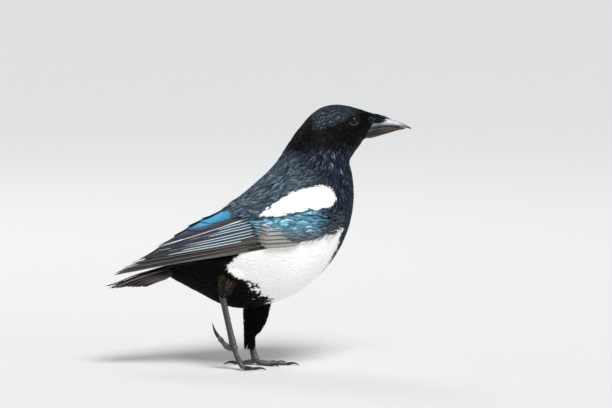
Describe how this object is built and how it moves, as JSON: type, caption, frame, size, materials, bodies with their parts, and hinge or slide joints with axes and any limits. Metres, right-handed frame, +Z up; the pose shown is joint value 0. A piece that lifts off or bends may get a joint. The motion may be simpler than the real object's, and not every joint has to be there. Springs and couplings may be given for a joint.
{
  "type": "eurasian magpie",
  "caption": "Still life-size model of a standing black and white magpie in mid step, head up, wings folded, with a short worn tail.",
  "frame": {"origin": "under the middle of the bird's box, on the floor", "axes": "the bird faces +X, its left side is +Y, +Z is up"},
  "size_m": [0.246, 0.083, 0.2114],
  "materials": {
    "black_plumage": "silky blue-black body feathers, white on the shoulders and flanks",
    "wing_plumage": "glossy blue-green wing feathers with worn brown ends",
    "tail_plumage": "worn brown-purple tail feathers",
    "horn": "dark grey horn with a soft gloss",
    "eye": "very dark brown, wet gloss",
    "leg_skin": "black scaled skin, slightly glossy"
  },
  "bodies": {
    "root": {"head": "black_plumage", "neck": "black_plumage", "torso": "black_plumage", "tail": "tail_plumage", "bill_upper": "horn", "bill_lower": "horn", "eye_left": "eye", "eye_right": "eye", "wing_left": "wing_plumage", "wing_right": "wing_plumage", "thigh_left": "black_plumage", "thigh_right": "black_plumage", "tarsus_left": "leg_skin", "tarsus_right": "leg_skin", "foot_left": "leg_skin", "foot_right": "leg_skin", "claw_left_1": "horn", "claw_left_2": "horn", "claw_left_3": "horn", "claw_left_4": "horn", "claw_right_1": "horn", "claw_right_2": "horn", "claw_right_3": "horn", "claw_right_4": "horn"}
  },
  "joints": []
}
